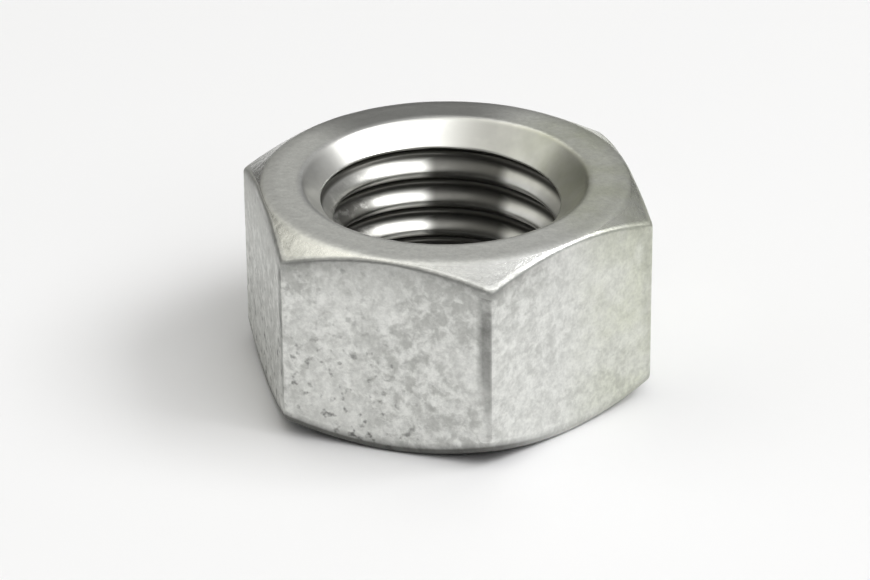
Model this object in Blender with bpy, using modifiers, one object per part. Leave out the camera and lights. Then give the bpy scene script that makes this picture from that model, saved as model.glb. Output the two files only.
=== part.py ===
"""A 3/4-10 hex nut, hot-dip galvanised, made from one forged and tapped piece of steel.

The nut stands on its bearing face at Z = 0, with its thread axis on Z. Two of its flats face +Y and
-Y, and two of its corners point along +X and -X. Every length is in metres.
"""

import math

import bmesh
import bpy
from mathutils import Matrix

INCH = 0.0254

# Body
ACROSS_FLATS = 1.125 * INCH
NUT_HEIGHT = 41 / 64 * INCH
CORNER_RADIUS = 0.0004

# The turned chamfers leave a round face at each end, smaller than the flats by an inset all round
TOP_FACE_INSET = 0.00044
BOTTOM_FACE_INSET = 0.00044
CHAMFER_ANGLE = math.radians(30.0)

# Thread: a right-hand 60 degree thread, tapped oversize so that a zinc-coated bolt still runs in it
THREAD_DIAMETER = 0.75 * INCH
THREAD_PITCH = INCH / 10
THREAD_FLANK_ANGLE = math.radians(30.0)
TAP_ALLOWANCE = 0.020 * INCH
THREAD_START_ANGLE = math.radians(280.0)

# Form of the thread: its depth as a share of the sharp triangle's height, and the flats on its
# crests and at its roots as shares of the pitch
THREAD_DEPTH_SHARE = 5 / 8
CREST_FLAT_SHARE = 1 / 4
ROOT_FLAT_SHARE = 1 / 8

# Countersink at both ends of the thread
COUNTERSINK_MARGIN = 0.0012
COUNTERSINK_ANGLE = math.radians(90.0)

# How far a cutter reaches past the faces that it cuts
OVERSHOOT = 0.001

# Facets around the axis
TURNED_STEPS = 96
THREAD_STEPS = 48
CORNER_SEGMENTS = 3

MERGE_DISTANCE = 0.000001
SMOOTH_ANGLE = math.radians(24.0)

ZINC_COLOUR = (0.52, 0.53, 0.50, 1.0)
ZINC_ROUGHNESS = 0.45


def clear_scene():
    for thing in list(bpy.data.objects):
        bpy.data.objects.remove(thing, do_unlink=True)


def new_collection(name):
    collection = bpy.data.collections.new(name)
    bpy.context.scene.collection.children.link(collection)
    return collection


def add_object(name, mesh, collection):
    thing = bpy.data.objects.new(name, mesh)
    collection.objects.link(thing)
    return thing


def mark_as_cutter(thing):
    thing.hide_render = True
    thing.display_type = "WIRE"


def zinc_material():
    material = bpy.data.materials.new("galvanised_steel")
    material.use_nodes = True
    shader = material.node_tree.nodes["Principled BSDF"]
    shader.inputs["Base Color"].default_value = ZINC_COLOUR
    shader.inputs["Metallic"].default_value = 1.0
    shader.inputs["Roughness"].default_value = ZINC_ROUGHNESS
    return material


def evaluated_mesh(thing):
    """The object's mesh with its modifiers carried out."""
    graph = bpy.context.evaluated_depsgraph_get()
    return bpy.data.meshes.new_from_object(thing.evaluated_get(graph))


def add_turned(name, profile, steps, collection, rise=0.0):
    """Turn a profile of (radius, height) points, top to bottom, about Z, rising by rise per turn."""
    mesh = bpy.data.meshes.new(name)
    points = [(radius, 0.0, height) for radius, height in profile]
    mesh.from_pydata(points, [(i, i + 1) for i in range(len(points) - 1)], [])
    thing = add_object(name, mesh, collection)
    screw = thing.modifiers.new("Turn", "SCREW")
    screw.axis = "Z"
    screw.screw_offset = rise
    screw.steps = steps
    screw.render_steps = steps
    screw.use_merge_vertices = True
    screw.merge_threshold = MERGE_DISTANCE
    return thing


def tap_radii():
    """Largest and smallest radius of the tapped thread."""
    triangle_height = THREAD_PITCH / 2 / math.tan(THREAD_FLANK_ANGLE)
    outer = (THREAD_DIAMETER + TAP_ALLOWANCE) / 2
    return outer, outer - THREAD_DEPTH_SHARE * triangle_height


def hexagon_mesh():
    """A hexagonal bar of the nut's height, with its six upright edges rounded."""
    body = bmesh.new()
    lift = Matrix.Translation((0.0, 0.0, NUT_HEIGHT / 2))
    bmesh.ops.create_cone(
        body,
        cap_ends=True,
        segments=6,
        radius1=ACROSS_FLATS / math.sqrt(3),
        radius2=ACROSS_FLATS / math.sqrt(3),
        depth=NUT_HEIGHT,
        matrix=lift @ Matrix.Rotation(math.radians(30.0), 4, "Z"),
    )
    upright = [e for e in body.edges if abs(e.verts[0].co.z - e.verts[1].co.z) > NUT_HEIGHT / 2]
    bmesh.ops.bevel(
        body,
        geom=upright,
        offset=CORNER_RADIUS * math.tan(math.radians(30.0)),
        offset_type="OFFSET",
        segments=CORNER_SEGMENTS,
        profile=0.5,
        affect="EDGES",
    )
    mesh = bpy.data.meshes.new("hex_nut")
    body.to_mesh(mesh)
    body.free()
    return mesh


def add_chamfer_envelope(collection):
    """The turned blank that the hexagon is trimmed to, with a cone at each end."""
    top_radius = ACROSS_FLATS / 2 - TOP_FACE_INSET
    bottom_radius = ACROSS_FLATS / 2 - BOTTOM_FACE_INSET
    outer_radius = ACROSS_FLATS / math.sqrt(3) + OVERSHOOT
    slope = math.tan(CHAMFER_ANGLE)
    profile = [
        (0.0, NUT_HEIGHT),
        (top_radius, NUT_HEIGHT),
        (outer_radius, NUT_HEIGHT - (outer_radius - top_radius) * slope),
        (outer_radius, (outer_radius - bottom_radius) * slope),
        (bottom_radius, 0.0),
        (0.0, 0.0),
    ]
    return add_turned("chamfer_envelope", profile, TURNED_STEPS, collection)


def add_countersinks(collection):
    """Both countersinks in one cutter, joined by a neck inside the bore."""
    outer, inner = tap_radii()
    mouth_radius = outer + COUNTERSINK_MARGIN
    neck_radius = inner - OVERSHOOT
    slope = 1.0 / math.tan(COUNTERSINK_ANGLE / 2)
    depth = (mouth_radius - neck_radius) * slope
    flare = mouth_radius + OVERSHOOT / slope
    profile = [
        (0.0, NUT_HEIGHT + OVERSHOOT),
        (flare, NUT_HEIGHT + OVERSHOOT),
        (neck_radius, NUT_HEIGHT - depth),
        (neck_radius, depth),
        (flare, -OVERSHOOT),
        (0.0, -OVERSHOOT),
    ]
    return add_turned("countersink_cutter", profile, TURNED_STEPS, collection)


def thread_profile():
    """Half section of the tap, from one pitch above the nut to at least one pitch below it."""
    outer, inner = tap_radii()
    top = NUT_HEIGHT + THREAD_PITCH
    turns = math.ceil((NUT_HEIGHT + OVERSHOOT) / THREAD_PITCH) + 2
    half_crest = CREST_FLAT_SHARE * THREAD_PITCH / 2
    half_root = ROOT_FLAT_SHARE * THREAD_PITCH / 2
    profile = [(0.0, top), (inner, top)]
    for turn in range(turns):
        crest = top - turn * THREAD_PITCH
        root = crest - THREAD_PITCH / 2
        profile.append((inner, crest - half_crest))
        profile.append((outer, root + half_root))
        profile.append((outer, root - half_root))
        profile.append((inner, crest - THREAD_PITCH + half_crest))
    bottom = top - turns * THREAD_PITCH
    profile += [(inner, bottom), (0.0, bottom)]
    return profile


def add_tap(collection):
    """The right-hand tap: its section turned once while it climbs by one pitch, with closed ends."""
    tap = add_turned("tap_cutter", thread_profile(), THREAD_STEPS, collection, rise=THREAD_PITCH)
    turned = evaluated_mesh(tap)
    solid = bmesh.new()
    solid.from_mesh(turned)
    bmesh.ops.remove_doubles(solid, verts=solid.verts, dist=MERGE_DISTANCE)
    open_edges = [edge for edge in solid.edges if edge.is_boundary]
    bmesh.ops.holes_fill(solid, edges=open_edges, sides=0)
    bmesh.ops.recalc_face_normals(solid, faces=solid.faces)
    tap.modifiers.clear()
    solid.to_mesh(tap.data)
    solid.free()
    bpy.data.meshes.remove(turned)
    tap.rotation_euler.z = THREAD_START_ANGLE
    return tap


def cut(thing, cutter, operation):
    mark_as_cutter(cutter)
    boolean = thing.modifiers.new(cutter.name, "BOOLEAN")
    boolean.operation = operation
    boolean.solver = "EXACT"
    boolean.object = cutter


def build_nut():
    nut_collection = new_collection("hex nut")
    cutters = new_collection("cutters")
    nut = add_object("hex_nut", hexagon_mesh(), nut_collection)
    cut(nut, add_chamfer_envelope(cutters), "INTERSECT")
    cut(nut, add_tap(cutters), "DIFFERENCE")
    cut(nut, add_countersinks(cutters), "DIFFERENCE")
    finished = evaluated_mesh(nut)
    nut.modifiers.clear()
    nut.data = finished
    finished.materials.clear()
    finished.materials.append(zinc_material())
    finished.shade_smooth()
    finished.set_sharp_from_angle(angle=SMOOTH_ANGLE)


clear_scene()
build_nut()
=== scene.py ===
import math
from collections import namedtuple

import bpy
from bpy.props import FloatProperty, FloatVectorProperty, IntProperty, PointerProperty
from bpy.types import Operator, Panel, PropertyGroup
from mathutils import Matrix, Vector


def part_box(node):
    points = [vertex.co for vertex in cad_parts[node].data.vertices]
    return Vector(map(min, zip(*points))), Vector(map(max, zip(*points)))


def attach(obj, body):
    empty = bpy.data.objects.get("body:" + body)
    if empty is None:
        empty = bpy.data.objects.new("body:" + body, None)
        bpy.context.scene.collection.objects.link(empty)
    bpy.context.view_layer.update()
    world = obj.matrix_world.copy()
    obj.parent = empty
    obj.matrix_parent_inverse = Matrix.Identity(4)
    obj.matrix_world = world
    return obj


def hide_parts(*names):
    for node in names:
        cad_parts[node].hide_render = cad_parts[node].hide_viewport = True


bl_info = {
    "name": "Galvanised Hex Nut",
    "version": (1, 0, 0),
    "blender": (4, 5, 0),
    "location": "3D View > Sidebar > Hex Nut",
    "description": "Builds a hot-dip galvanised hexagon nut with its tapped thread, and a small studio",
    "category": "Add Mesh",
}

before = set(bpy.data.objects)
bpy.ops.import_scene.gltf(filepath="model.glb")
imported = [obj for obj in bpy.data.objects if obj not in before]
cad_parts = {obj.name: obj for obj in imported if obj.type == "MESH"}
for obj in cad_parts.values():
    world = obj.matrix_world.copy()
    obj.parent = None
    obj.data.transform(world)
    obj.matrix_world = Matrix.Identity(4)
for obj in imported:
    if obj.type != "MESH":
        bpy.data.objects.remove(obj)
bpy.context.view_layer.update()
NUT_NODE = "hex_nut"
NUT_LOW, NUT_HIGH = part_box(NUT_NODE)

MM = 0.001
INCH = 0.0254
FULL_TURN = 2 * math.pi


# Settings that a user would change


class NutSizes(PropertyGroup):
    """Sizes of the nut, in metres and radians."""

    across_flats: FloatProperty(
        name="Across flats",
        description="Width between two opposite flats, which is the spanner size",
        default=NUT_HIGH.y - NUT_LOW.y,
        unit="LENGTH",
    )
    height: FloatProperty(
        name="Height",
        description="Distance from the bearing face to the top face",
        default=NUT_HIGH.z - NUT_LOW.z,
        unit="LENGTH",
    )
    corner_blend: FloatProperty(
        name="Corner blend",
        description="Width over which two flats blend into each other at a corner",
        default=0.5 * MM,
        unit="LENGTH",
    )
    edge_setback: FloatProperty(
        name="Edge setback",
        description="How far back from each edge its rounding starts",
        default=0.32 * MM,
        unit="LENGTH",
    )
    shoulder: FloatProperty(
        name="Shoulder",
        description="How far in from its rim each round face starts to fall away",
        default=0.9 * MM,
        unit="LENGTH",
    )
    foot_rounding: FloatProperty(
        name="Foot rounding",
        description="How far up each flat its low edge starts to turn under",
        default=0.5 * MM,
        unit="LENGTH",
    )
    top_inset: FloatProperty(
        name="Top face inset",
        description="How far the round top face stops short of the flats",
        default=0.44 * MM,
        unit="LENGTH",
    )
    bottom_inset: FloatProperty(
        name="Bottom face inset",
        description="How far the round bearing face stops short of the flats",
        default=0.44 * MM,
        unit="LENGTH",
    )
    chamfer_angle: FloatProperty(
        name="Chamfer angle",
        description="Slope of the turned chamfer below the plane of the face",
        default=math.radians(30.0),
        subtype="ANGLE",
    )
    thread_radius: FloatProperty(
        name="Thread radius",
        description="Radius at the roots of the tapped thread",
        default=0.385 * INCH,
        unit="LENGTH",
    )
    pitch: FloatProperty(
        name="Pitch",
        description="Rise of the right-hand thread in one turn",
        default=0.1 * INCH,
        unit="LENGTH",
    )
    thread_start: FloatProperty(
        name="Thread start",
        description="Direction in which a crest would reach the top face",
        default=math.radians(280.0),
        subtype="ANGLE",
    )
    crest_blend: FloatProperty(
        name="Crest blend",
        description="Blend width of the rounded crests of the thread",
        default=2.0 * MM,
        unit="LENGTH",
    )
    root_blend: FloatProperty(
        name="Root blend",
        description="Blend width at the roots of the thread",
        default=0.25 * MM,
        unit="LENGTH",
    )
    mouth_margin: FloatProperty(
        name="Mouth margin",
        description="How much wider than the thread's roots the countersink opens, on radius",
        default=1.2 * MM,
        unit="LENGTH",
    )
    countersink_angle: FloatProperty(
        name="Countersink angle",
        description="Full angle of the countersink's cone",
        default=math.radians(90.0),
        subtype="ANGLE",
    )
    zinc_relief: FloatProperty(
        name="Zinc relief",
        description="Height of the shallow waves in the zinc coat",
        default=0.035 * MM,
        unit="LENGTH",
    )
    side_columns: IntProperty(
        name="Columns per side",
        description="Mesh columns across each of the six flats",
        default=54,
        min=4,
    )
    pitch_rows: IntProperty(
        name="Rows per pitch",
        description="Mesh rows along one pitch of the thread",
        default=24,
        min=8,
    )


class NutFinish(PropertyGroup):
    """Colours of the zinc outside and of the tapped steel in the bore."""

    zinc_light: FloatVectorProperty(
        name="Light zinc",
        description="Colour of the cleaner zinc",
        default=(0.80, 0.805, 0.775),
        size=3,
        subtype="COLOR",
        min=0.0,
        max=1.0,
    )
    zinc_dark: FloatVectorProperty(
        name="Dark zinc",
        description="Colour of the duller patches",
        default=(0.565, 0.57, 0.545),
        size=3,
        subtype="COLOR",
        min=0.0,
        max=1.0,
    )
    pit_colour: FloatVectorProperty(
        name="Pits",
        description="Colour at the bottom of the small pits",
        default=(0.09, 0.09, 0.085),
        size=3,
        subtype="COLOR",
        min=0.0,
        max=1.0,
    )
    rubbed_colour: FloatVectorProperty(
        name="Rubbed zinc",
        description="Colour where edges and chamfers are rubbed bright",
        default=(0.80, 0.80, 0.78),
        size=3,
        subtype="COLOR",
        min=0.0,
        max=1.0,
    )
    # Painted shade: the darker colour of the +Y stretch of the top rim
    rim_shade_colour: FloatVectorProperty(
        name="Rim shade",
        description="Colour of the duller stretch of the top rim",
        default=(0.21, 0.21, 0.205),
        size=3,
        subtype="COLOR",
        min=0.0,
        max=1.0,
    )
    # Painted shade along the low edges where the nut meets the table; also the darker line under the flats'
    # top edges and the dirty strips beside the corners
    darkening_colour: FloatVectorProperty(
        name="Darkening",
        description="Colour of the dirt along the low edges and beside the corners",
        default=(0.05, 0.05, 0.045),
        size=3,
        subtype="COLOR",
        min=0.0,
        max=1.0,
    )
    # Painted shade in the thread's grooves and on its -X side, and a dark streak on its +Y side
    thread_shade_and_streak_colour: FloatVectorProperty(
        name="Thread shade and streak",
        description="Colour of the dark oil in the thread",
        default=(0.045, 0.043, 0.036),
        size=3,
        subtype="COLOR",
        min=0.0,
        max=1.0,
    )
    tapped_colour: FloatVectorProperty(
        name="Tapped steel",
        description="Colour of the cut thread and countersink",
        default=(0.785, 0.785, 0.75),
        size=3,
        subtype="COLOR",
        min=0.0,
        max=1.0,
    )
    # Painted reflection: a faint yellowish tint that dulls the +X side
    reflection_tint: FloatVectorProperty(
        name="Reflection tint",
        description="Faint yellowish film that dulls the +X side",
        default=(0.85, 0.865, 0.77),
        size=3,
        subtype="COLOR",
        min=0.0,
        max=1.0,
    )


class StudioSettings(PropertyGroup):
    """Camera and lights."""

    camera_azimuth: FloatProperty(
        name="Camera azimuth",
        description="Direction of the camera, counted from -Y towards +X",
        default=math.radians(18.1),
        subtype="ANGLE",
    )
    camera_elevation: FloatProperty(
        name="Camera elevation",
        description="Height of the camera above the horizon",
        default=math.radians(27.5),
        subtype="ANGLE",
    )
    camera_distance: FloatProperty(
        name="Camera distance",
        description="Distance from the camera to the middle of the nut",
        default=0.321,
        unit="LENGTH",
    )
    lens: FloatProperty(
        name="Lens",
        description="Focal length on a 36 mm wide sensor, in millimetres",
        default=172.2,
    )
    key_power: FloatProperty(
        name="Key light",
        description="Power of the light on the right, which casts the shadow",
        default=12.0,
        unit="POWER",
    )
    panel_power: FloatProperty(
        name="Front panel",
        description="Power of the large soft panel in front on the right",
        default=7.6,
        unit="POWER",
    )
    window_power: FloatProperty(
        name="Left window",
        description="Power of the soft light on the left",
        default=3.4,
        unit="POWER",
    )
    world_strength: FloatProperty(
        name="Room light",
        description="Brightness of the room around the stage",
        default=1.0,
    )


# Node building


def feed(tree, socket, value):
    """Link a socket, or set a plain value."""
    if isinstance(value, bpy.types.NodeSocket):
        tree.links.new(value, socket)
    else:
        socket.default_value = value


def add_node(tree, kind, settings=None, **inputs):
    """A node with its settings, and its inputs given by name with _ for a space."""
    node = tree.nodes.new(kind)
    for name, value in (settings or {}).items():
        setattr(node, name, value)
    for name, value in inputs.items():
        feed(tree, node.inputs[name.replace("_", " ")], value)
    return node


def calc(tree, operation, *values, clamp=False):
    """A math node on numbers or sockets, returned as its output socket."""
    node = add_node(tree, "ShaderNodeMath", {"operation": operation, "use_clamp": clamp})
    for socket, value in zip(node.inputs, values):
        feed(tree, socket, value)
    return node.outputs[0]


def product(tree, first, *others):
    """Several numbers or sockets multiplied together."""
    for other in others:
        first = calc(tree, "MULTIPLY", first, other)
    return first


def vector_calc(tree, operation, *values, output="Vector", scale=None):
    """A vector math node, returned as one of its output sockets."""
    node = add_node(tree, "ShaderNodeVectorMath", {"operation": operation})
    for socket, value in zip(node.inputs, values):
        feed(tree, socket, value)
    if scale is not None:
        feed(tree, node.inputs["Scale"], scale)
    return node.outputs[output]


def mix_values(tree, start, end, factor):
    """The number that lies a factor of the way from start to end."""
    return calc(tree, "MULTIPLY_ADD", calc(tree, "SUBTRACT", end, start), factor, start)


def mix_points(tree, start, end, factor):
    """The point that lies a factor of the way from start to end."""
    way = vector_calc(tree, "SUBTRACT", end, start)
    return vector_calc(tree, "ADD", start, vector_calc(tree, "SCALE", way, scale=factor))


def step_towards(tree, start, goal, distance):
    """The point a distance from start, on the way to goal."""
    way = vector_calc(tree, "NORMALIZE", vector_calc(tree, "SUBTRACT", goal, start))
    return vector_calc(tree, "ADD", start, vector_calc(tree, "SCALE", way, scale=distance))


def flattened(tree, place):
    """A place's offset from the nut's axis."""
    return vector_calc(tree, "MULTIPLY", place, (1.0, 1.0, 0.0))


# The nut's shape

SIDES = 6
SIDE_ANGLE = FULL_TURN / SIDES
HALF_SIDE = SIDE_ANGLE / 2

MERGE_DISTANCE = 0.002 * MM

# Share of even spacing left in the columns, which crowd together towards the corners
CORNER_SPACING = 0.16

# Length of cone that leads into each countersink's rounded mouth
CONE_LEAD = 1.0 * MM

# Largest share of a narrow surface that the rounding of one of its edges may take
EDGE_SHARE = 0.45

# Places of the round faces' rims and of the flats' low edge among the section's edges
TOP_RIM = 1
FOOT = 3
BOTTOM_RIM = 4

# Place of the flats among the section's straight bands
FLATS = 2

# Mesh rows in each straight band, from the top face to the bearing face, and in each rounded edge
STRAIGHT_ROWS = [9, 6, 34, 6, 9]
EDGE_ROWS = 5

# How each straight band and each edge looks: 1 rubbed bright, below 0 darker. The -1 on the bottom
# chamfer and its two edges is painted shade where the nut meets the table, the -0.42 at the top of
# the flats a darker line. The flats have marks of their own instead of their 0
STRAIGHT_WEAR_AND_SHADE = [0.0, 0.62, 0.0, -1.0, 0.0]
EDGE_WEAR_AND_SHADE = [0.4, 0.2, -0.42, -1.0, -1.0, 0.0]

# Darkening just under the top edge of each flat, and how fast it is lost on the way down, per flat height
RIM_DARKENING = 0.34
RIM_DARKENING_LOSS = 5.0

# A 60 degree thread: cut depth gained along the axis, and its full depth and half its crest in pitches
FLANK_SLOPE = math.sqrt(3.0)
THREAD_DEPTH = 5 / 16 * FLANK_SLOPE
HALF_CREST = 1 / 8

# Blend width where the thread runs out into a countersink
CONE_BLEND = 0.15 * MM

# How deep the thread has to cut into the countersink before its groove counts as a full one
GROOVE_FADE = 0.6 * MM

# Noise scales of the zinc's waves and dents, per metre, and the dents' height as a share of the waves'
WAVE_SCALE = 230.0
DENT_SCALE = 620.0
DENT_SHARE = 0.55

# Noise value above which the waves leave the surface alone, and how far from a mouth they are full
WAVE_TOP = 0.62
WAVE_FADE = 1.5 * MM

# Where a mesh point lies: its direction from the axis, its angle from the middle of its side, and its
# place from 0 to 1 along the rows
Around = namedtuple("Around", "angle off_middle row")


def tree_inputs(tree, sizes):
    """One named input for each size, returned as a dictionary of sockets."""
    tree.interface.new_socket("Geometry", in_out="OUTPUT", socket_type="NodeSocketGeometry")
    entry = tree.nodes.new("NodeGroupInput")
    for name, value in sizes.items():
        kind = "NodeSocketInt" if isinstance(value, int) else "NodeSocketFloat"
        item = tree.interface.new_socket(name, in_out="INPUT", socket_type=kind)
        item.default_value = value
    return {name: entry.outputs[name] for name in sizes}


def grid_around(tree):
    """Place round the nut of each point of a one metre grid: x goes round, y along the rows."""
    place = add_node(tree, "GeometryNodeInputPosition")
    split = add_node(tree, "ShaderNodeSeparateXYZ", Vector=place.outputs[0])
    sides = calc(tree, "MULTIPLY", calc(tree, "ADD", split.outputs["X"], 0.5), SIDES)
    side = calc(tree, "FLOOR", calc(tree, "ADD", sides, 0.0001))
    across = calc(tree, "MULTIPLY_ADD", calc(tree, "SUBTRACT", sides, side), 2.0, -1.0)
    even = calc(tree, "MULTIPLY", across, CORNER_SPACING)
    wave = calc(tree, "SINE", calc(tree, "MULTIPLY", across, math.pi / 2))
    crowded = calc(tree, "MULTIPLY_ADD", wave, 1.0 - CORNER_SPACING, even)
    off_middle = calc(tree, "MULTIPLY", crowded, HALF_SIDE)
    middle = calc(tree, "MULTIPLY_ADD", side, SIDE_ANGLE, HALF_SIDE)
    row = calc(tree, "ADD", split.outputs["Y"], 0.5)
    return Around(calc(tree, "ADD", middle, off_middle), off_middle, row)


def flat_radius(tree, off_middle, size):
    """Distance from the axis to the hexagon in one direction, blended at the corners."""
    turn = calc(tree, "ABSOLUTE", off_middle)
    half = calc(tree, "MULTIPLY", size["Across Flats"], 0.5)
    near = calc(tree, "DIVIDE", half, calc(tree, "COSINE", turn))
    beyond = calc(tree, "SUBTRACT", SIDE_ANGLE, turn)
    far = calc(tree, "DIVIDE", half, calc(tree, "COSINE", beyond))
    return calc(tree, "SMOOTH_MIN", near, far, size["Corner Blend"])


def mouth_radius(tree, size):
    """Radius at which both countersinks meet the round faces."""
    return calc(tree, "ADD", size["Thread Radius"], size["Mouth Margin"])


def section_point(tree, radius, height):
    """A point of the half section: its distance from the axis, and its height."""
    return add_node(tree, "ShaderNodeCombineXYZ", X=radius, Y=height).outputs[0]


def section_corners(tree, size, wall):
    """Corners of the half section outside the thread, from the top countersink to the bottom one."""
    half_cone = calc(tree, "MULTIPLY", size["Countersink Angle"], 0.5)
    inward = calc(tree, "MULTIPLY", calc(tree, "SINE", half_cone), CONE_LEAD)
    downward = calc(tree, "MULTIPLY", calc(tree, "COSINE", half_cone), CONE_LEAD)
    mouth = mouth_radius(tree, size)
    lead = calc(tree, "SUBTRACT", mouth, inward)
    slope = calc(tree, "TANGENT", size["Chamfer Angle"])
    half = calc(tree, "MULTIPLY", size["Across Flats"], 0.5)
    top_face = calc(tree, "SUBTRACT", half, size["Top Inset"])
    bottom_face = calc(tree, "SUBTRACT", half, size["Bottom Inset"])
    top_drop = calc(tree, "MULTIPLY", calc(tree, "SUBTRACT", wall, top_face), slope)
    bottom_rise = calc(tree, "MULTIPLY", calc(tree, "SUBTRACT", wall, bottom_face), slope)
    return [
        section_point(tree, lead, calc(tree, "SUBTRACT", size["Height"], downward)),
        section_point(tree, mouth, size["Height"]),
        section_point(tree, top_face, size["Height"]),
        section_point(tree, wall, calc(tree, "SUBTRACT", size["Height"], top_drop)),
        section_point(tree, wall, bottom_rise),
        section_point(tree, bottom_face, 0.0),
        section_point(tree, mouth, 0.0),
        section_point(tree, lead, downward),
    ]


def edge_setbacks(tree, corners, size):
    """How far before and after each corner its rounded edge runs, less where a surface is narrow."""
    setbacks = []
    for before, corner, after in zip(corners, corners[1:], corners[2:]):
        back = vector_calc(tree, "DISTANCE", before, corner, output="Value")
        ahead = vector_calc(tree, "DISTANCE", corner, after, output="Value")
        room = calc(tree, "MULTIPLY", calc(tree, "MINIMUM", back, ahead), EDGE_SHARE)
        setback = calc(tree, "MINIMUM", room, size["Edge Setback"])
        setbacks.append([setback, setback])
    setbacks[TOP_RIM][0] = size["Shoulder"]
    setbacks[FOOT][0] = size["Foot Rounding"]
    setbacks[BOTTOM_RIM][1] = size["Shoulder"]
    return setbacks


def store(tree, mesh, name, value):
    """Keep a number on each point of a mesh, for its material."""
    node = add_node(tree, "GeometryNodeStoreNamedAttribute", Geometry=mesh, Name=name, Value=value)
    return node.outputs["Geometry"]


def place_round(tree, mesh, radius, angle, height):
    """Move each point of a mesh to a radius, a direction and a height."""
    x = calc(tree, "MULTIPLY", radius, calc(tree, "COSINE", angle))
    y = calc(tree, "MULTIPLY", radius, calc(tree, "SINE", angle))
    spot = add_node(tree, "ShaderNodeCombineXYZ", X=x, Y=y, Z=height).outputs[0]
    placed = add_node(tree, "GeometryNodeSetPosition", Geometry=mesh, Position=spot)
    return placed.outputs["Geometry"]


def unit_grid(tree, columns, rows):
    """A grid of one metre by one metre, centred on the origin, with so many points each way."""
    grid = add_node(tree, "GeometryNodeMeshGrid", Size_X=1.0, Size_Y=1.0, Vertices_X=columns)
    feed(tree, grid.inputs["Vertices Y"], rows)
    return grid.outputs["Mesh"]


def band(tree, columns, rows, points, marks, around):
    """A strip right round the nut: straight between two rings, or bent towards a third between them."""
    while len(points) > 1:
        points = [mix_points(tree, a, b, around.row) for a, b in zip(points, points[1:])]
    split = add_node(tree, "ShaderNodeSeparateXYZ", Vector=points[0])
    mesh = unit_grid(tree, columns, rows + 1)
    for name, value in marks.items():
        mesh = store(tree, mesh, name, value)
    return place_round(tree, mesh, split.outputs["X"], around.angle, split.outputs["Y"])


def flat_marks(tree, around):
    """Marks of the flats: darkening that fades down from the top edge, and the place across from -1 to 1.
    """
    darkening = calc(tree, "MULTIPLY_ADD", around.row, RIM_DARKENING_LOSS, -RIM_DARKENING)
    across = calc(tree, "DIVIDE", around.off_middle, HALF_SIDE)
    return {"wear_and_shade": calc(tree, "MINIMUM", darkening, 0.0), "across": across}


def outside_bands(tree, size, columns, around):
    """All bands outside the bore: one between each two edges of the section, and one round each edge."""
    corners = section_corners(tree, size, flat_radius(tree, around.off_middle, size))
    straight_marks = [{"wear_and_shade": wear_and_shade, "across": 0.0} for wear_and_shade in STRAIGHT_WEAR_AND_SHADE]
    straight_marks[FLATS] = flat_marks(tree, around)
    bands = []
    previous = None
    for k, (back, ahead) in enumerate(edge_setbacks(tree, corners, size)):
        before, corner, after = corners[k : k + 3]
        start = step_towards(tree, corner, before, back)
        end = step_towards(tree, corner, after, ahead)
        if previous is not None:
            rows, marks = STRAIGHT_ROWS[k - 1], straight_marks[k - 1]
            bands.append(band(tree, columns, rows, [previous, start], marks, around))
        marks = {"wear_and_shade": EDGE_WEAR_AND_SHADE[k], "across": 0.0}
        bands.append(band(tree, columns, EDGE_ROWS, [start, corner, end], marks, around))
        previous = end
    return bands


def bore_height(tree, size, around, turns, bottom, top):
    """Height of the bore's points: rows climb with the thread, and are held at both ends."""
    climb = calc(tree, "DIVIDE", around.angle, FULL_TURN)
    level = calc(tree, "MULTIPLY_ADD", around.row, turns, calc(tree, "SUBTRACT", climb, 1.0))
    height = calc(tree, "MULTIPLY", level, size["Pitch"])
    half_row = calc(tree, "DIVIDE", calc(tree, "MULTIPLY", size["Pitch"], 0.5), size["Pitch Rows"])
    past_top = calc(tree, "GREATER_THAN", height, calc(tree, "SUBTRACT", top, half_row))
    past_bottom = calc(tree, "LESS_THAN", height, calc(tree, "ADD", bottom, half_row))
    return mix_values(tree, mix_values(tree, height, top, past_top), bottom, past_bottom)


def thread_cut(tree, size, around, height, depth):
    """How far the thread is cut outwards from its smallest radius."""
    climb = calc(tree, "DIVIDE", around.angle, FULL_TURN)
    start = calc(tree, "DIVIDE", size["Thread Start"], FULL_TURN)
    below_top = calc(tree, "DIVIDE", calc(tree, "SUBTRACT", height, size["Height"]), size["Pitch"])
    turns = calc(tree, "ADD", calc(tree, "SUBTRACT", below_top, climb), start)
    from_crest = calc(tree, "PINGPONG", turns, 0.5)
    rise = calc(tree, "MULTIPLY", calc(tree, "SUBTRACT", from_crest, HALF_CREST), size["Pitch"])
    cut = calc(tree, "MULTIPLY", rise, FLANK_SLOPE)
    crested = calc(tree, "SMOOTH_MAX", cut, 0.0, size["Crest Blend"])
    return calc(tree, "SMOOTH_MIN", crested, depth, size["Root Blend"])


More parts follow.
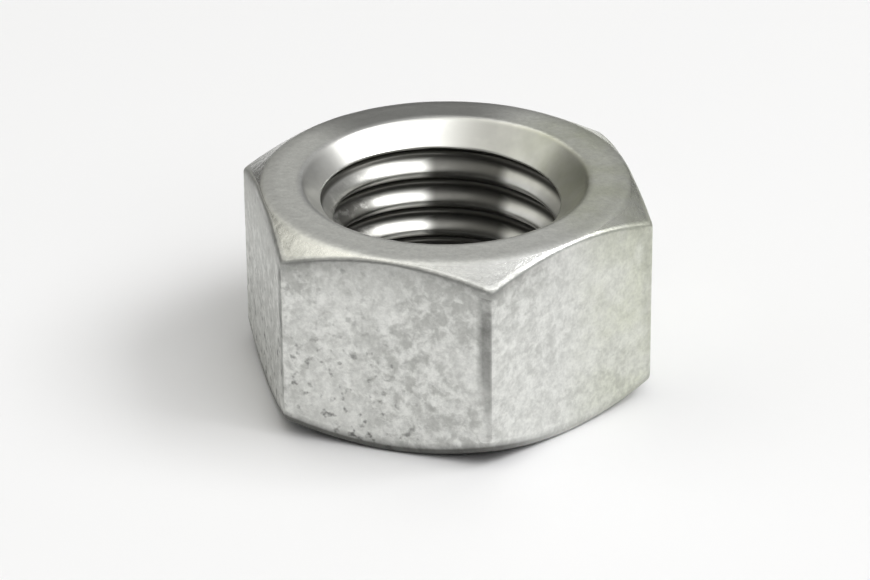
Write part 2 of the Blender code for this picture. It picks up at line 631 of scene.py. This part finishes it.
def bore_surface(tree, size, columns, around):
    """The bore: the tapped thread and both countersinks, on rows that climb with the thread."""
    half_cone = calc(tree, "MULTIPLY", size["Countersink Angle"], 0.5)
    bottom = calc(tree, "MULTIPLY", size["Edge Setback"], calc(tree, "COSINE", half_cone))
    top = calc(tree, "SUBTRACT", size["Height"], bottom)
    span = calc(tree, "ADD", size["Height"], size["Pitch"])
    turns = calc(tree, "CEIL", calc(tree, "DIVIDE", span, size["Pitch"]))
    height = bore_height(tree, size, around, turns, bottom, top)
    depth = calc(tree, "MULTIPLY", size["Pitch"], THREAD_DEPTH)
    cut = thread_cut(tree, size, around, height, depth)
    thread = calc(tree, "ADD", calc(tree, "SUBTRACT", size["Thread Radius"], depth), cut)
    nearer = calc(tree, "MINIMUM", calc(tree, "SUBTRACT", size["Height"], height), height)
    inset = calc(tree, "MULTIPLY", nearer, calc(tree, "TANGENT", half_cone))
    cone = calc(tree, "SUBTRACT", mouth_radius(tree, size), inset)
    radius = calc(tree, "SMOOTH_MAX", thread, cone, CONE_BLEND)
    cut_in = calc(tree, "DIVIDE", calc(tree, "SUBTRACT", thread, cone), GROOVE_FADE, clamp=True)
    groove = product(tree, calc(tree, "DIVIDE", cut, depth), cut_in)
    rows = calc(tree, "MULTIPLY_ADD", turns, size["Pitch Rows"], 1.0)
    marked = store(tree, unit_grid(tree, columns, rows), "groove", groove)
    return place_round(tree, marked, radius, around.angle, height)


def from_axis(tree):
    """Distance of each point from the nut's axis."""
    place = add_node(tree, "GeometryNodeInputPosition").outputs[0]
    return vector_calc(tree, "LENGTH", flattened(tree, place), output="Value")


def zinc_waves(tree, size, mesh):
    """Shallow waves and dents of the zinc coat, on the outside only, fading out at the mouths."""
    place = add_node(tree, "GeometryNodeInputPosition").outputs[0]
    waves = add_node(tree, "ShaderNodeTexNoise", Vector=place, Scale=WAVE_SCALE, Detail=2.0).outputs[0]
    dents = add_node(tree, "ShaderNodeTexNoise", Vector=place, Scale=DENT_SCALE, Detail=1.0).outputs[0]
    wave_height = calc(tree, "SUBTRACT", waves, WAVE_TOP)
    dent_height = calc(tree, "SUBTRACT", dents, WAVE_TOP)
    both = calc(tree, "MULTIPLY_ADD", dent_height, DENT_SHARE, wave_height)
    outward = calc(tree, "SUBTRACT", from_axis(tree), mouth_radius(tree, size))
    faded = calc(tree, "DIVIDE", outward, WAVE_FADE, clamp=True)
    below_skin = calc(tree, "MINIMUM", product(tree, both, size["Zinc Relief"], faded), 0.0)
    normal = add_node(tree, "GeometryNodeInputNormal").outputs[0]
    offset = vector_calc(tree, "SCALE", normal, scale=below_skin)
    moved = add_node(tree, "GeometryNodeSetPosition", Geometry=mesh, Offset=offset)
    return moved.outputs["Geometry"]


def nut_tree(sizes, zinc, tapped):
    """The whole nut as one closed mesh, zinc outside and tapped steel inside the mouths."""
    tree = bpy.data.node_groups.new("Hex nut with tapped thread", "GeometryNodeTree")
    size = tree_inputs(tree, sizes)
    around = grid_around(tree)
    columns = calc(tree, "MULTIPLY_ADD", size["Side Columns"], SIDES, 1.0)
    parts = outside_bands(tree, size, columns, around)
    parts.append(bore_surface(tree, size, columns, around))
    joined = tree.nodes.new("GeometryNodeJoinGeometry")
    for part in reversed(parts):
        tree.links.new(part, joined.inputs[0])
    merged = add_node(tree, "GeometryNodeMergeByDistance", Geometry=joined.outputs[0])
    merged.inputs["Distance"].default_value = MERGE_DISTANCE
    outward = add_node(tree, "GeometryNodeFlipFaces", Mesh=merged.outputs[0])
    waved = zinc_waves(tree, size, outward.outputs[0])
    smooth = add_node(tree, "GeometryNodeSetShadeSmooth", Geometry=waved)
    real = add_node(tree, "GeometryNodeRealizeInstances", Geometry=smooth.outputs[0])
    outside = add_node(tree, "GeometryNodeSetMaterial", Geometry=real.outputs[0], Material=zinc)
    in_bore = calc(tree, "LESS_THAN", from_axis(tree), mouth_radius(tree, size))
    bore = add_node(tree, "GeometryNodeSetMaterial", Geometry=outside.outputs[0], Material=tapped)
    feed(tree, bore.inputs["Selection"], in_bore)
    tree.links.new(bore.outputs[0], tree.nodes.new("NodeGroupOutput").inputs[0])
    return tree


def plain_mesh(name, tree, values):
    """Run a tree on an empty object and return the result as a plain mesh object at the origin."""
    blank = bpy.data.meshes.new(name)
    thing = bpy.data.objects.new(name, blank)
    bpy.context.scene.collection.objects.link(thing)
    modifier = thing.modifiers.new("Shape", "NODES")
    modifier.node_group = tree
    for item in tree.interface.items_tree:
        if item.in_out == "INPUT":
            modifier[item.identifier] = values[item.name]
    graph = bpy.context.evaluated_depsgraph_get()
    mesh = bpy.data.meshes.new_from_object(thing.evaluated_get(graph))
    thing.modifiers.remove(modifier)
    thing.data = mesh
    bpy.data.meshes.remove(blank)
    mesh.name = name
    return thing


# Finishes

# A noise pattern: its scale per metre, the range of its values that is used, and how fine it is
Pattern = namedtuple("Pattern", "scale low high detail roughness distortion", defaults=(2.0, 0.5, 0.0))

CLOUDS = Pattern(160.0, 0.36, 0.64)
PATCHES = Pattern(1150.0, 0.34, 0.66, detail=5.0, roughness=0.62, distortion=0.3)
PITS = Pattern(1350.0, 0.575, 0.76)
STRIP_BREAKS = Pattern(420.0, 0.35, 0.6)
TINT_BLOTCHES = Pattern(230.0, 0.38, 0.62, detail=4.0, roughness=0.6)
STEEL_BLOTCHES = Pattern(300.0, 0.35, 0.7, detail=3.0, roughness=0.6)
SHADE_BLOTCHES = Pattern(900.0, 0.3, 0.55, detail=4.0, roughness=0.65)
GRAIN = Pattern(3600.0, 0.3, 0.7, detail=3.0, roughness=0.6)
TOOL_MARKS = Pattern(5200.0, 0.0, 1.0, roughness=0.6)

# Levels between which the zinc's look changes, as shares of the nut's height: the sides give way to
# the top face, the upper sides grow duller, the pits thin out, the painted shade on the rim sets in,
# and the dirty strips beside the corners grow wider and darker
FACE_LEVELS = (0.934, 0.977)
UPPER_LEVELS = (0.707, 0.891)
PIT_LEVELS = (0.246, 0.737)
RIM_SHADE_LEVELS = (0.799, 0.953)
STRIP_LEVELS = (0.184, 0.522)

# Places along X between which it changes, as shares of half the width across flats: patches fade
# towards +X, painted shade sets in as an even dullness towards -X, and pits and the darkening, with
# its painted shade along the low edges, thin out towards +X
PATCH_SIDE = (0.42, 0.77)
PAINTED_SHADE_SIDE = (-0.735, -0.56)
PIT_SIDE = (-0.07, 0.35)
DARKENING_SIDE = (0.595, 0.84)

# Levels between which the painted shade on the thread's -X side thins out upwards
THREAD_SHADE_LEVELS = (0.676, 0.891)

# A strip of dirt beside a corner, as shares of the angle from the middle of a flat to its corner: where
# it starts low down and high up, how soon it is full, and where it fades again
STRIP_START = (0.90, 0.86)
STRIP_WIDTH = 0.06
STRIP_FADE = (0.97, 1.0)

# Groove depths, from 0 at a crest to 1 at a root, between which a surface counts as thread, and
# between which painted shade darkens the grooves towards their roots
THREAD_GROOVE = (0.0, 0.05)
SHADED_GROOVE = (0.5, 0.85)

METALLIC_ZINC = 0.92
ZINC_BUMP = 0.012 * MM
STEEL_BUMP = 0.004 * MM

# How much the tool marks change along a turn, as a share of their change across it
MARK_DRIFT = 0.02

# How dark the darker blotches of the tapped steel are
WORN_SHARE = 0.84


def level_way(degrees):
    """Level unit vector at an angle from +X towards +Y."""
    return (math.cos(math.radians(degrees)), math.sin(math.radians(degrees)), 0.0)


# Directions from the axis of the painted reflection tint, the painted shade on the rim, the dark streak
# on the thread and the painted shade on the thread's -X side
REFLECTION_TINT_SIDE = level_way(25.0)
RIM_SHADE_SIDE = level_way(120.0)
STREAK_SIDE = level_way(97.0)
THREAD_SHADE_SIDE = level_way(176.0)

# A point of the surface: its Object coordinates, its height as a share of the nut's, and its x as a
# share of half the width across flats
Spot = namedtuple("Spot", "place level sideways")


def new_material(name):
    """A material with nodes, its tree and its shader."""
    material = bpy.data.materials.new(name)
    material.use_nodes = True
    tree = material.node_tree
    return material, tree, tree.nodes["Principled BSDF"]


def nut_spot(tree, sizes):
    """Where the shaded point lies on the nut."""
    place = tree.nodes.new("ShaderNodeTexCoord").outputs["Object"]
    split = add_node(tree, "ShaderNodeSeparateXYZ", Vector=place)
    level = calc(tree, "DIVIDE", split.outputs["Z"], sizes.height)
    sideways = calc(tree, "DIVIDE", split.outputs["X"], sizes.across_flats / 2)
    return Spot(place, level, sideways)


def attribute(tree, name):
    """A number kept on the mesh's points."""
    return add_node(tree, "ShaderNodeAttribute", {"attribute_name": name}).outputs["Fac"]


def ramp(tree, value, low, high, bottom=0.0, top=1.0):
    """Map low..high to bottom..top with a smooth step, held at both ends."""
    node = add_node(tree, "ShaderNodeMapRange", {"interpolation_type": "SMOOTHSTEP"}, Value=value)
    for name, number in (("From Min", low), ("From Max", high), ("To Min", bottom), ("To Max", top)):
        node.inputs[name].default_value = number
    return node.outputs[0]


def noise(tree, place, pattern):
    """A pattern's plain noise."""
    node = add_node(tree, "ShaderNodeTexNoise", Vector=place, Scale=pattern.scale, Detail=pattern.detail)
    node.inputs["Roughness"].default_value = pattern.roughness
    node.inputs["Distortion"].default_value = pattern.distortion
    return node.outputs[0]


def spread(tree, place, pattern, bottom=0.0, top=1.0):
    """A pattern's noise with the used range of its values spread over bottom..top."""
    return ramp(tree, noise(tree, place, pattern), pattern.low, pattern.high, bottom, top)


def mix_colours(tree, factor, first, second, blend="MIX"):
    """A colour mix node on colours or sockets."""
    node = add_node(tree, "ShaderNodeMix", {"data_type": "RGBA", "blend_type": blend})
    for socket, value in zip((node.inputs[0], node.inputs[6], node.inputs[7]), (factor, first, second)):
        feed(tree, socket, value)
    return node.outputs[2]


def opaque(colour):
    """A colour of three numbers with an alpha of 1."""
    return (*colour, 1.0)


def turned_to(tree, place, side):
    """How nearly a place's direction from the axis matches a side: 1 is exactly, 0 is square to it."""
    way = vector_calc(tree, "NORMALIZE", flattened(tree, place))
    return vector_calc(tree, "DOT_PRODUCT", way, side, output="Value")


def painted_reflection_tint(tree, place, colour, tint, share=1.0):
    """Painted reflection: a faint yellowish tint in blotches over one side of the nut, laid over a share of
    a colour.
    """
    near = ramp(tree, turned_to(tree, place, REFLECTION_TINT_SIDE), 0.45, 0.9)
    strength = product(tree, near, share, spread(tree, place, TINT_BLOTCHES, 0.5, 1.0))
    return mix_colours(tree, strength, colour, opaque(tint), "MULTIPLY")


def corner_strip(tree, spot):
    """A dirty strip down each flat just before its corner, wider and darker higher up."""
    across = attribute(tree, "across")
    high = ramp(tree, spot.level, *STRIP_LEVELS)
    past_start = calc(tree, "SUBTRACT", across, mix_values(tree, *STRIP_START, high))
    strip = calc(tree, "DIVIDE", past_start, STRIP_WIDTH, clamp=True)
    faded = ramp(tree, across, *STRIP_FADE, 1.0, 0.6)
    broken = spread(tree, spot.place, STRIP_BREAKS, 0.45, 0.8)
    return product(tree, strip, faded, broken, mix_values(tree, 0.5, 0.9, high))


def painted_rim_shade(tree, spot):
    """Painted shade: a darker stretch of the top face's rim, towards +Y."""
    near = ramp(tree, turned_to(tree, spot.place, RIM_SHADE_SIDE), 0.70, 0.95, 0.0, 0.75)
    return product(tree, near, ramp(tree, spot.level, *RIM_SHADE_LEVELS))


def zinc_dullness_and_shade(tree, spot, patches, side, soiled):
    """How dull the zinc is: patches, painted shade as an even dullness towards -X, and a dull upper part of
    the sides.
    """
    painted_side_shade = product(tree, side, ramp(tree, spot.sideways, *PAINTED_SHADE_SIDE, 0.4, 0.0))
    upper = product(tree, ramp(tree, spot.level, *UPPER_LEVELS, 0.0, 0.38), soiled)
    clouds = mix_values(tree, 0.5, 1.1, spread(tree, spot.place, CLOUDS))
    dull = product(tree, calc(tree, "SUBTRACT", 1.0, patches), soiled, clouds)
    return calc(tree, "ADD", calc(tree, "ADD", dull, painted_side_shade), upper, clamp=True)


def zinc_pits(tree, spot, soiled):
    """Small dark pits, mostly low down and towards -X."""
    low = ramp(tree, spot.level, *PIT_LEVELS, 1.0, 0.35)
    leftward = ramp(tree, spot.sideways, *PIT_SIDE, 1.0, 0.15)
    return product(tree, spread(tree, spot.place, PITS), soiled, low, leftward)


def zinc_material(finish, sizes):
    """Dull galvanised zinc: soft patches, small dark pits, rubbed rims and painted shade along the low
    edges.
    """
    material, tree, shader = new_material("galvanised zinc")
    spot = nut_spot(tree, sizes)
    wear_and_shade = attribute(tree, "wear_and_shade")
    rubbed = calc(tree, "MAXIMUM", wear_and_shade, 0.0)
    # 1 on the sides and less on the top face, then less towards +X
    side = ramp(tree, spot.level, *FACE_LEVELS, 1.0, 0.3)
    soiled = product(tree, side, ramp(tree, spot.sideways, *PATCH_SIDE, 1.0, 0.65))
    patches = spread(tree, spot.place, PATCHES)
    # The dullness holds painted shade towards -X as well as the zinc's own patches
    dull = zinc_dullness_and_shade(tree, spot, patches, side, soiled)
    pits = zinc_pits(tree, spot, soiled)
    grain = noise(tree, spot.place, GRAIN)
    shade = ramp(tree, grain, GRAIN.low, GRAIN.high, 0.92, 1.05)
    grey = add_node(tree, "ShaderNodeCombineColor", Red=shade, Green=shade, Blue=shade).outputs[0]
    # The darkening: painted shade along the low edges where the nut meets the table, plus the darker line
    # under the flats' top edges and the dirty strips beside the corners, all fainter towards +X
    darkening = calc(tree, "MAXIMUM", product(tree, wear_and_shade, -1.0), corner_strip(tree, spot))
    darkening = product(tree, darkening, ramp(tree, spot.sideways, *DARKENING_SIDE, 0.85, 0.25))
    colour = mix_colours(tree, dull, opaque(finish.zinc_light), opaque(finish.zinc_dark))
    colour = mix_colours(tree, product(tree, pits, 0.8), colour, opaque(finish.pit_colour))
    colour = mix_colours(tree, 1.0, colour, grey, "MULTIPLY")
    # Painted shade on the +Y stretch of the top rim
    colour = mix_colours(tree, painted_rim_shade(tree, spot), colour, opaque(finish.rim_shade_colour))
    colour = mix_colours(tree, darkening, colour, opaque(finish.darkening_colour))
    colour = mix_colours(tree, product(tree, rubbed, 0.6), colour, opaque(finish.rubbed_colour))
    # Painted reflection: a yellowish tint over the +X side
    colour = painted_reflection_tint(tree, spot.place, colour, finish.reflection_tint)
    tree.links.new(colour, shader.inputs["Base Color"])
    shader.inputs["Metallic"].default_value = METALLIC_ZINC
    polished = calc(tree, "MULTIPLY", rubbed, 1.6, clamp=True)
    roughness = mix_values(tree, mix_values(tree, 0.40, 0.56, dull), 0.26, polished)
    tree.links.new(roughness, shader.inputs["Roughness"])
    height = calc(tree, "MULTIPLY_ADD", grain, 0.35, patches)
    height = calc(tree, "MULTIPLY_ADD", pits, -1.2, height)
    relief = add_node(tree, "ShaderNodeBump", Height=height, Distance=ZINC_BUMP)
    tree.links.new(relief.outputs[0], shader.inputs["Normal"])
    return material


def tool_marks(tree, place, pitch):
    """Fine marks that follow the thread: the same all along one turn of the helix, but for a slow drift."""
    split = add_node(tree, "ShaderNodeSeparateXYZ", Vector=place)
    turn = calc(tree, "ARCTAN2", split.outputs["Y"], split.outputs["X"])
    phase = calc(tree, "SUBTRACT", product(tree, split.outputs["Z"], FULL_TURN / pitch), turn)
    reach = pitch / FULL_TURN
    radius = vector_calc(tree, "LENGTH", flattened(tree, place), output="Value")
    cosine = product(tree, calc(tree, "COSINE", phase), reach)
    sine = product(tree, calc(tree, "SINE", phase), reach)
    helix = add_node(tree, "ShaderNodeCombineXYZ", X=radius, Y=cosine, Z=sine).outputs[0]
    drift = vector_calc(tree, "MULTIPLY", place, (MARK_DRIFT, MARK_DRIFT, 0.0))
    return noise(tree, vector_calc(tree, "ADD", helix, drift), TOOL_MARKS)


def thread_shade_and_streak(tree, spot, groove):
    """Painted shade in the grooves, a dark streak down the thread's +Y side, and painted shade in blotches
    on its -X side.
    """
    on_thread = ramp(tree, groove, *THREAD_GROOVE)
    # Painted shade, deepening towards the roots of the grooves
    groove_shade = ramp(tree, groove, *SHADED_GROOVE, 0.0, 0.9)
    streak = ramp(tree, turned_to(tree, spot.place, STREAK_SIDE), 0.91, 0.965)
    streak = product(tree, streak, on_thread, 0.86)
    # Painted shade on the thread's -X side
    side_shade = ramp(tree, turned_to(tree, spot.place, THREAD_SHADE_SIDE), 0.76, 0.94)
    thinner = ramp(tree, spot.level, *THREAD_SHADE_LEVELS, 0.88, 0.42)
    blotchy = spread(tree, spot.place, SHADE_BLOTCHES, 0.6, 1.0)
    side_shade = product(tree, side_shade, on_thread, thinner, blotchy)
    return calc(tree, "MAXIMUM", calc(tree, "MAXIMUM", groove_shade, streak), side_shade)


def tapped_material(finish, sizes):
    """Bright cut steel with faint marks from the tools, and painted shade and a dark streak on the thread.
    """
    material, tree, shader = new_material("tapped steel")
    spot = nut_spot(tree, sizes)
    groove = attribute(tree, "groove")
    blotches = spread(tree, spot.place, STEEL_BLOTCHES)
    worn = tuple(part * WORN_SHARE for part in finish.tapped_colour)
    tint_share = ramp(tree, groove, *THREAD_GROOVE, 1.0, 0.1)
    colour = mix_colours(tree, blotches, opaque(worn), opaque(finish.tapped_colour))
    # Painted shade on the thread, and a dark streak on its +Y side
    colour = mix_colours(tree, thread_shade_and_streak(tree, spot, groove), colour, opaque(finish.thread_shade_and_streak_colour))
    # The painted reflection tint, mostly on the crests and the countersink
    colour = painted_reflection_tint(tree, spot.place, colour, finish.reflection_tint, tint_share)
    tree.links.new(colour, shader.inputs["Base Color"])
    shader.inputs["Metallic"].default_value = 1.0
    tree.links.new(ramp(tree, blotches, 0.0, 1.0, 0.40, 0.33), shader.inputs["Roughness"])
    marks = tool_marks(tree, spot.place, sizes.pitch)
    relief = add_node(tree, "ShaderNodeBump", Height=marks, Distance=STEEL_BUMP)
    tree.links.new(relief.outputs[0], shader.inputs["Normal"])
    return material


class HEXNUT_OT_build_nut(Operator):
    """Build the nut: its hexagon, chamfers, countersinks and tapped thread."""

    bl_idname = "hexnut.build_nut"
    bl_label = "Build Nut"

    def execute(self, context):
        sizes = context.scene.hexnut_sizes
        finish = context.scene.hexnut_finish
        values = {name.replace("_", " ").title(): getattr(sizes, name) for name in sizes.__annotations__}
        tree = nut_tree(values, zinc_material(finish, sizes), tapped_material(finish, sizes))
        nut = plain_mesh("galvanised_hex_nut", tree, values)
        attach(nut, "root")
        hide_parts(NUT_NODE)
        return {"FINISHED"}


# The stage

TABLE_SIZE = 6.0
TABLE_COLOUR = (0.86, 0.86, 0.87)
TABLE_ROUGHNESS = 0.6

# The lights: degrees round from -Y towards +X, degrees up, width and height
KEY = (103.0, 48.0, 0.85, 0.70)
FRONT_PANEL = (53.0, 46.0, 1.05, 1.25)
LEFT_WINDOW = (-66.0, 31.0, 1.30, 1.05)
LIGHT_DISTANCE = 1.5

# The room, seen from the nut. Brightness of its walls on the viewer's side and behind the nut, and
# the share of it that is left near the table and on the left
WALL_LEVELS = (0.05, 0.38)
LOW_WALL = 0.15
LEFT_WALL = 0.55
CEILING = 0.70
LEFT_TINT = (1.0, 0.985, 0.88)

# Brighter parts of the ceiling: degrees round from the camera, degrees above the horizon, and strength
SKYLIGHTS = [(-135.0, 58.0, 0.65), (8.0, 62.0, 0.5)]
SKYLIGHT_EDGE = (0.89, 0.97)

# How bright the room looks behind the table
BACKDROP = 0.85

# How far the nut sits from the middle of the frame, as shares of the frame's width
FRAME_SHIFT = (-0.0125, -0.0199)
CAMERA_ROLL = math.radians(-0.44)
SENSOR_WIDTH = 36.0
NEAREST_SEEN = 0.01

WHITE = (1.0, 1.0, 1.0)


def direction(azimuth, elevation):
    """Unit vector towards an azimuth, counted from -Y towards +X, and an elevation."""
    level = math.cos(elevation)
    return Vector((math.sin(azimuth) * level, -math.cos(azimuth) * level, math.sin(elevation)))


def look_at(thing, place, target, roll=0.0):
    """Put a light or a camera at a place, facing a target."""
    facing = (target - place).to_track_quat("-Z", "Y").to_matrix().to_4x4()
    thing.matrix_world = Matrix.Translation(place) @ facing @ Matrix.Rotation(roll, 4, "Z")


def add_light(name, placing, power, target):
    """A soft rectangular light that faces a target."""
    azimuth, elevation, width, height = placing
    data = bpy.data.lights.new(name, "AREA")
    data.shape = "RECTANGLE"
    data.size = width
    data.size_y = height
    data.energy = power
    light = bpy.data.objects.new(name, data)
    bpy.context.scene.collection.objects.link(light)
    way = direction(math.radians(azimuth), math.radians(elevation))
    look_at(light, target + way * LIGHT_DISTANCE, target)


def add_table():
    """The white table top that the nut stands on."""
    mesh = bpy.data.meshes.new("floor")
    half = TABLE_SIZE / 2
    corners = [(-half, -half, 0.0), (half, -half, 0.0), (half, half, 0.0), (-half, half, 0.0)]
    mesh.from_pydata(corners, [], [(0, 1, 2, 3)])
    table = bpy.data.objects.new("floor", mesh)
    bpy.context.scene.collection.objects.link(table)
    material, _, shader = new_material("white table")
    shader.inputs["Base Color"].default_value = opaque(TABLE_COLOUR)
    shader.inputs["Roughness"].default_value = TABLE_ROUGHNESS
    mesh.materials.append(material)


def room_world(studio):
    """A room with a white ceiling, mid grey behind the nut and dark on the viewer's side."""
    world = bpy.data.worlds.new("room")
    world.use_nodes = True
    tree = world.node_tree
    background = tree.nodes["Background"]
    way = tree.nodes.new("ShaderNodeTexCoord").outputs["Generated"]
    behind = tuple(direction(studio.camera_azimuth + math.pi, 0.0))
    right = tuple(direction(studio.camera_azimuth + math.pi / 2, 0.0))
    backward = vector_calc(tree, "DOT_PRODUCT", way, behind, output="Value")
    rightward = vector_calc(tree, "DOT_PRODUCT", way, right, output="Value")
    height = add_node(tree, "ShaderNodeSeparateXYZ", Vector=way).outputs["Z"]
    walls = ramp(tree, backward, -0.3, 0.9, *WALL_LEVELS)
    above_table = ramp(tree, height, 0.15, 0.48, LOW_WALL, 1.0)
    walls = product(tree, walls, above_table, ramp(tree, rightward, -0.8, 0.2, LEFT_WALL, 1.0))
    level = mix_values(tree, walls, CEILING, ramp(tree, height, 0.66, 0.88))
    for azimuth, elevation, strength in SKYLIGHTS:
        towards = direction(studio.camera_azimuth + math.radians(azimuth), math.radians(elevation))
        facing = vector_calc(tree, "DOT_PRODUCT", way, tuple(towards), output="Value")
        level = calc(tree, "ADD", level, ramp(tree, facing, *SKYLIGHT_EDGE, 0.0, strength))
    lighting = product(tree, level, studio.world_strength)
    seen = tree.nodes.new("ShaderNodeLightPath").outputs["Is Camera Ray"]
    tree.links.new(mix_values(tree, lighting, BACKDROP, seen), background.inputs["Strength"])
    plain = calc(tree, "MAXIMUM", ramp(tree, rightward, -0.7, 0.3), seen)
    tree.links.new(mix_colours(tree, plain, opaque(LEFT_TINT), opaque(WHITE)), background.inputs["Color"])
    return world


def add_camera(scene, studio, target):
    """The camera, with the nut placed in its frame."""
    data = bpy.data.cameras.new("camera")
    data.sensor_width = SENSOR_WIDTH
    data.lens = studio.lens
    data.shift_x, data.shift_y = FRAME_SHIFT
    data.clip_start = NEAREST_SEEN
    camera = bpy.data.objects.new("camera", data)
    scene.collection.objects.link(camera)
    way = direction(studio.camera_azimuth, studio.camera_elevation)
    look_at(camera, target + way * studio.camera_distance, target, CAMERA_ROLL)
    scene.camera = camera
    scene.view_settings.view_transform = "Standard"


class HEXNUT_OT_build_stage(Operator):
    """Build the white table, the soft lights and the camera."""

    bl_idname = "hexnut.build_stage"
    bl_label = "Build Stage"

    def execute(self, context):
        studio = context.scene.hexnut_studio
        middle = Vector((0.0, 0.0, context.scene.hexnut_sizes.height / 2))
        add_table()
        add_light("key", KEY, studio.key_power, middle)
        add_light("front panel", FRONT_PANEL, studio.panel_power, middle)
        add_light("left window", LEFT_WINDOW, studio.window_power, middle)
        context.scene.world = room_world(studio)
        add_camera(context.scene, studio, middle)
        return {"FINISHED"}


# The add-on


class HEXNUT_PT_panel(Panel):
    """Sizes and finishes of the hex nut."""

    bl_idname = "HEXNUT_PT_panel"
    bl_label = "Hex Nut"
    bl_space_type = "VIEW_3D"
    bl_region_type = "UI"
    bl_category = "Hex Nut"

    def draw(self, context):
        for group in (context.scene.hexnut_sizes, context.scene.hexnut_finish, context.scene.hexnut_studio):
            box = self.layout.box()
            for name in group.__annotations__:
                box.prop(group, name)
        self.layout.operator(HEXNUT_OT_build_nut.bl_idname)
        self.layout.operator(HEXNUT_OT_build_stage.bl_idname)


CLASSES = (
    NutSizes,
    NutFinish,
    StudioSettings,
    HEXNUT_OT_build_nut,
    HEXNUT_OT_build_stage,
    HEXNUT_PT_panel,
)


def register():
    for cls in CLASSES:
        bpy.utils.register_class(cls)
    bpy.types.Scene.hexnut_sizes = PointerProperty(type=NutSizes)
    bpy.types.Scene.hexnut_finish = PointerProperty(type=NutFinish)
    bpy.types.Scene.hexnut_studio = PointerProperty(type=StudioSettings)


def unregister():
    del bpy.types.Scene.hexnut_studio
    del bpy.types.Scene.hexnut_finish
    del bpy.types.Scene.hexnut_sizes
    for cls in reversed(CLASSES):
        bpy.utils.unregister_class(cls)


def main():
    register()
    bpy.ops.hexnut.build_nut()
    bpy.ops.hexnut.build_stage()


if __name__ == "__main__":
    main()
